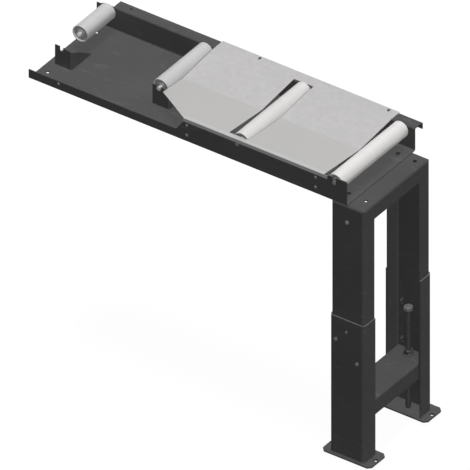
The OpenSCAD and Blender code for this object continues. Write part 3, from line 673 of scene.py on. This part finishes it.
def hex_bolt(shape, seat, outward, reach, flats, head, shank):
    """A bolt whose head bears on seat, with its shank running reach the other way."""
    half = flats / 2
    rings = [
        round_ring(shank / 2 - 0.6, -reach), round_ring(shank / 2, -reach + 0.8),
        round_ring(shank / 2, 0), round_ring(half * 0.93, 0), round_ring(half * 0.93, 0.3),
        hex_ring(half, 0.3), hex_ring(half, head, half * 0.93), round_ring(half * 0.93, head),
        round_ring(half * 0.55, head - 0.15),
    ]
    stack(shape, rings, seat, outward)


def washer(shape, seat, outward, hole, wide, thick):
    rings = [
        round_ring(hole / 2, 0), round_ring(wide / 2 - 0.2, 0), round_ring(wide / 2, 0.2),
        round_ring(wide / 2, thick - 0.3), round_ring(wide / 2 - 0.3, thick),
        round_ring(hole / 2, thick),
    ]
    stack(shape, rings, seat, outward, through=True)


print("a bolt M8 measures", M8, "on a washer of", M8_WASHER)

# %% [markdown]
# Where the hexagon bolts go
# Four of them hold the axles from behind the back wall, two hold the leg from below, one small
# screw sits in the front post's web, and two in each foot clamp the sleeve to its post. Each
# could be an object, but bolts that do the same job on the same body move together, so they are
# one piece.

# %% Place the hexagon bolts
PLATE_UNDERSIDE = -3
WEB_FACE, WEB_SCREW_UP = 3.3, -54
AXLE_REACH, LEG_REACH, WEB_REACH, CLAMP_REACH = 16, 6.8, 11.6, 15

shape = bmesh.new()
for along in ROLLER_ALONG:
    washer(shape, tray_place(along, BACK_FACE, AXLE_UP), BACK, **M8_WASHER)
    seat = tray_place(along, BACK_FACE + M8_WASHER["thick"], AXLE_UP)
    hex_bolt(shape, seat, BACK, AXLE_REACH, **M8)
make_piece("axle_hex_screws", shape, bolt_zinc, "frame", ["axle_screws"])

shape = bmesh.new()
for across in BOLT_ACROSS:
    washer(shape, tray_place(LEG_BOLT, across, PLATE_UNDERSIDE), BELOW, **M8_WASHER)
    seat = tray_place(LEG_BOLT, across, PLATE_UNDERSIDE - M8_WASHER["thick"])
    hex_bolt(shape, seat, BELOW, LEG_REACH, **M8)
make_piece("leg_hex_bolts", shape, black_steel, "frame", ["leg_bolts"])

shape = bmesh.new()
hex_bolt(shape, tray_place(LEG_ALONG, WEB_FACE, WEB_SCREW_UP), FRONT, WEB_REACH, **M6)
make_piece("web_hex_screw", shape, web_zinc_highlight, "frame", ["web_screw"])

# Each foot's bolts: the wall that they bear on, the way out of it, and each one's place along
# the tray and over the floor.
CLAMP_BOLTS = {"front": (0, FRONT, ((1015, 383), (1085, 327))),
               "rear": (317.5, BACK, ((1015, 335), (1015, 210)))}
for side, (across, outward, spots) in CLAMP_BOLTS.items():
    shape = bmesh.new()
    for along, height in spots:
        hex_bolt(shape, tray_place(along, across, FLOOR + height), outward, CLAMP_REACH, **M6)
    make_piece(side + "_clamp_hex_bolts", shape, bolt_zinc, side + "_foot",
               [side + "_clamp_bolts"])

# %% [markdown]
# Jack nuts
# The nuts that the jack screws turn in stand on the brace. Each has a flange below and a bore
# that is countersunk at the top, so the stack of rings goes up the outside and comes back down
# the bore. A Boolean cut would leave long thin faces round the bore.

# %% Jack nuts
shape = bmesh.new()
for across in JACK_ACROSS.values():
    rings = [
        round_ring(8.1, 0), round_ring(14.6, 0), round_ring(15, 0.5), round_ring(15, 2),
        round_ring(14.0, 3), round_ring(11.9, 3), hex_ring(12, 3.6),
        hex_ring(12, 16, 11.4), round_ring(11.4, 16), round_ring(9.2, 16), round_ring(8.1, 14.9),
    ]
    stack(shape, rings, tray_place(LEG_ALONG, across, BRACE_TOP), through=True)
make_piece("flanged_jack_nuts", shape, dark_steel, "frame", ["jack_nuts"])

# %% [markdown]
# Dome screws
# The small screws on the walls, on the chute and in the tray's low lip have low domes with
# hexagon sockets. A dome could be cut from a ball and the socket cut into it, but here the dome
# is a few rings on an arc, and the socket is one hexagon ring pushed down into it, so nothing
# has to be cut.

# %% Dome screws
DOME_ARC = [math.radians(a) for a in (0, 18, 36, 54, 68)]
DOME_EDGE = 0.2


def dome_screw(shape, seat, outward, reach, wide=8.5, tall=2.8, shank=5, socket=3):
    rings = [round_ring(shank / 2 - 0.4, -reach), round_ring(shank / 2, -reach + 0.6),
             round_ring(shank / 2, 0), round_ring(wide / 2 - 0.15, 0)]
    for a in DOME_ARC[:-1]:
        height = DOME_EDGE + (tall - DOME_EDGE) * math.sin(a) / math.sin(DOME_ARC[-1])
        rings.append(round_ring(wide / 2 * math.cos(a), height))
    rings += [round_ring(socket * 0.68, tall), hex_ring(socket / 2, tall - 0.25),
              hex_ring(socket / 2, tall - 1.7), round_ring(0.3, tall - 2.0)]
    stack(shape, rings, seat, outward)


RIB_ALONG, RIB_UP = (522, 947), (23, 55)
shape = bmesh.new()
for along in RIB_ALONG:
    for height in RIB_UP:
        dome_screw(shape, tray_place(along, 0, height), FRONT, 10)
        dome_screw(shape, tray_place(along, BACK_FACE, height), BACK, 10)
make_piece("rib_dome_screws", shape, bolt_zinc, "frame", ["rib_screws"])

CHUTE_SCREW_ALONG, CHUTE_SCREW_ACROSS, CHUTE_TOP = (519.25, 944.25), 347.5, 75.8
shape = bmesh.new()
for along in CHUTE_SCREW_ALONG:
    dome_screw(shape, tray_place(along, CHUTE_SCREW_ACROSS, CHUTE_TOP), ABOVE, 10)
make_piece("chute_dome_screws", shape, dark_steel, "frame", ["chute_screws"])

# %% [markdown]
# The lip's screw and the grub screws
# The low lip carries one more dome screw, with its nut on the inner side of the lip. The solids
# have only the hole there, so this piece replaces nothing. Each sleeve also has a grub screw
# against its post. It could be left as the plain rod of the solids, but its end stands 5.75 mm
# out of the sleeve and shows, so it gets a chamfer and a hexagon socket. It has no head.

# %% Lip screw and grub screws
LIP_ALONG, LIP_UP, LIP_INSIDE = 99, 22, 2.5
shape = bmesh.new()
dome_screw(shape, tray_place(LIP_ALONG, 0, LIP_UP), FRONT, 8.5, shank=4.8)
rings = [round_ring(2.4, 0), round_ring(3.8, 0), hex_ring(4, 0.3), hex_ring(4, 4, 3.8),
         round_ring(3.8, 4), round_ring(2.4, 4)]
stack(shape, rings, tray_place(LIP_ALONG, LIP_INSIDE, LIP_UP), BACK, through=True)
make_piece("lip_dome_screw", shape, bolt_zinc, "frame")

GRUB_UP = FLOOR + 418
for side, (across, outward) in {"front": (-5.75, FRONT), "rear": (323.25, BACK)}.items():
    shape = bmesh.new()
    rings = [round_ring(2.2, -9), round_ring(3, -8.2), round_ring(3, -0.5), round_ring(2.5, 0),
             round_ring(1.9, 0), hex_ring(1.5, -0.3), hex_ring(1.5, -3), round_ring(0.3, -3.3)]
    stack(shape, rings, tray_place(LEG_ALONG, across, GRUB_UP), outward)
    make_piece(side + "_grub_screw", shape, bolt_zinc, side + "_foot",
               [side + "_set_screw"])

# %% [markdown]
# Weld beads
# The sleeves are welded round the outside to their base plates, the brace to the posts, and the
# nuts' flanges to the brace. A tube along the joint would look like a cord. A hand-laid bead is
# a row of small overlapping ripples, so here its radius swells and narrows every few millimetres.

# %% Weld beads
STATIONS_PER_RIPPLE = 3
BEAD_POINTS = 8


def bead(shape, path, radius, ripple=2.6):
    """A rippled bead along a list of places, with a cap at each end."""
    stations = []
    for start, end in zip(path, path[1:]):
        count = max(1, round((end - start).length * 1000 / ripple * STATIONS_PER_RIPPLE))
        stations += [start.lerp(end, i / count) for i in range(count)]
    stations.append(path[-1])
    rings = []
    for i, spot in enumerate(stations):
        ahead = stations[min(i + 1, len(stations) - 1)] - stations[max(i - 1, 0)]
        swell = radius * (0.82 + 0.18 * (i % STATIONS_PER_RIPPLE) / 2) / 1000
        pose = Matrix.Translation(spot) @ ahead.to_track_quat("Z", "Y").to_matrix().to_4x4()
        made = bmesh.ops.create_circle(shape, segments=BEAD_POINTS, radius=swell, matrix=pose)
        rings.append(made["verts"])
    bridge_rings(shape, rings)


def corner(middle, radius, first, last, height, steps=6):
    """Places on an arc round middle, in tray millimetres and degrees."""
    turns = [math.radians(first + (last - first) * i / steps) for i in range(steps + 1)]
    return [tray_place(middle[0] + radius * math.cos(a), middle[1] + radius * math.sin(a), height)
            for a in turns]


print("a bead has", STATIONS_PER_RIPPLE, "rings to a ripple")

# %% [markdown]
# Where the welds go
# Each sleeve's bead runs along one side, round a corner, across the outer face, round the next
# corner and along the other side. It could be a copy of the sleeve's outline, but a few numbers
# describe it as well. The brace has two upright beads on each post, and each nut has a ring.

# %% Place the weld beads
WELD_LEFT, WELD_RIGHT, WELD_SIDE, WELD_UP = 992.2, 1107.8, 52, FLOOR + 5.8
WELD_TURN, WALL_TO_MIDDLE = 12.5, 12.0
for side, wall, flip in (("front", 0, 1), ("rear", 317.5, -1)):
    shape = bmesh.new()
    end, middle = wall + flip * WELD_SIDE, wall + flip * WALL_TO_MIDDLE
    path = [tray_place(WELD_LEFT, end, WELD_UP)]
    path += corner((WELD_LEFT + WELD_TURN, middle), WELD_TURN, 180, 180 + flip * 90, WELD_UP)
    path += corner((WELD_RIGHT - WELD_TURN, middle), WELD_TURN, -flip * 90, 0, WELD_UP)
    path += [tray_place(WELD_RIGHT, end, WELD_UP)]
    bead(shape, path, 2.3)
    make_piece(side + "_foot_weld", shape, foot_paint, side + "_foot")

POST_FACES, BRACE_ENDS = (1000.2, 1099.8), (53.6, 263.9)
shape = bmesh.new()
for across in BRACE_ENDS:
    for along in POST_FACES:
        places = [tray_place(along, across, BRACE_TOP - down) for down in (1, 49)]
        bead(shape, places, 2.0)
for across in JACK_ACROSS.values():
    bead(shape, corner((LEG_ALONG, across), 15.3, 0, 360, BRACE_TOP + 0.6, 24), 1.4, 2.2)
make_piece("brace_welds", shape, leg_paint, "frame")

# %% [markdown]
# Sky
# The photograph's background is plain white. A white sky would also light the object from all
# sides and flatten it. So the world is white to the camera, in reflections and through clear
# things, and almost black as a light. Light Path nodes tell these rays apart.

# %% Sky
SKY_LIGHT = 0.05


def seen_rays(graph, *kinds):
    """1 for rays of these kinds, and 0 for the light that falls on the object."""
    seen = graph.node("ShaderNodeLightPath", output=kinds[0])
    for kind in kinds[1:]:
        seen = seen.most(graph.node("ShaderNodeLightPath", output=kind))
    return seen


world = bpy.data.worlds.new("paper_sky")
bpy.context.scene.world = world
world.use_nodes = True
sky = Graph(world.node_tree)
seen = seen_rays(sky, "Is Camera Ray", "Is Glossy Ray", "Is Transmission Ray")
strength = sky.node("ShaderNodeMapRange", inputs={0: seen, "To Min": SKY_LIGHT, "To Max": 1.0})
background = sky.tree.nodes["Background"]
background.inputs["Color"].default_value = (1, 1, 1, 1)
sky.tree.links.new(strength.socket, background.inputs["Strength"])
print("the sky lights the object with a strength of", SKY_LIGHT)

# %% [markdown]
# Suns
# A soft sun overhead lights the top faces and casts the shadow. The photograph is shaded evenly
# even where one piece covers another, so four fills without shadows add to it from above, from
# the front right, from below and from behind. Area lamps would do for a small object, but they
# fade with distance, and a sun lights the whole length of the tray alike.

# %% Suns
# Each sun: towards it, its energy and whether it casts shadows.
SUNS = {
    "overhead_sun": ((0.0, 0.0, 1.0), 0.60, True),
    "overhead_fill": ((0.0, 0.0, 1.0), 2.28, False),
    "side_fill": ((0.85, -0.72, 0.55), 1.24, False),
    "low_fill": ((0.33, -0.05, -0.50), 0.60, False),
    "rear_fill": ((-0.25, 0.75, 0.05), 0.80, False),
}
SUN_WIDTH = math.radians(20)
for name, (towards, energy, shadows) in SUNS.items():
    sun_data = bpy.data.lights.new(name, "SUN")
    sun_data.energy = energy
    sun_data.angle = SUN_WIDTH
    sun_data.use_shadow = shadows
    sun = bpy.data.objects.new(name, sun_data)
    bpy.context.scene.collection.objects.link(sun)
    sun.rotation_euler = Vector(towards).to_track_quat("Z", "Y").to_euler()
print("suns made:", list(SUNS))

# %% [markdown]
# Paper floor
# The object stands on white paper. A plain white floor would bounce its own light up at the
# object, and the suns alone would no longer set how bright each face is. So the paper is almost
# black to most rays, and pale only to the camera and in reflections. There it is part glow,
# which keeps it white, and part lit surface, which keeps the object's shadow. The feet can be
# wound 12 mm further down, so the paper lies that much lower.

# %% Paper floor
FOOT_DROP, PAPER_HALF = 12.0, 12
PAPER_GREY, BOUNCE_GREY, PAPER_GLOW, GLOW_SHARE = 0.9, 0.04, 1.03, 0.70
paper = bpy.data.materials.new("paper_floor")
paper.use_nodes = True
sheet = Graph(paper.node_tree)
sheet.tree.nodes.clear()
lit = sheet.node("ShaderNodeBsdfDiffuse", inputs={"Color": (*grey(PAPER_GREY), 1)})
glow = sheet.node("ShaderNodeEmission", inputs={"Strength": PAPER_GLOW})
dull = sheet.node("ShaderNodeBsdfDiffuse", inputs={"Color": (*grey(BOUNCE_GREY), 1)})
pale = sheet.node("ShaderNodeMixShader", inputs={0: GLOW_SHARE, 1: lit, 2: glow})
shown = seen_rays(sheet, "Is Camera Ray", "Is Glossy Ray")
choice = sheet.node("ShaderNodeMixShader", inputs={0: shown, 1: dull, 2: pale})
sheet.node("ShaderNodeOutputMaterial", inputs={0: choice})

floor_shape = bmesh.new()
bmesh.ops.create_grid(floor_shape, x_segments=1, y_segments=1, size=PAPER_HALF)
floor_mesh = bpy.data.meshes.new("paper_floor")
floor_shape.to_mesh(floor_mesh)
floor_shape.free()
floor_mesh.materials.append(paper)
floor = bpy.data.objects.new("paper_floor", floor_mesh)
bpy.context.scene.collection.objects.link(floor)
floor.location.z = (FLOOR - FOOT_DROP) / 1000
print("the paper lies at", floor.location.z)

# %% [markdown]
# Colour view
# The view is set to Standard, so that a colour comes out about as it is written. A film-like
# view would pale the paint and grey the paper.

# %% Set the colour view
scene_view = bpy.context.scene.view_settings
scene_view.view_transform = "Standard"
bpy.context.view_layer.update()
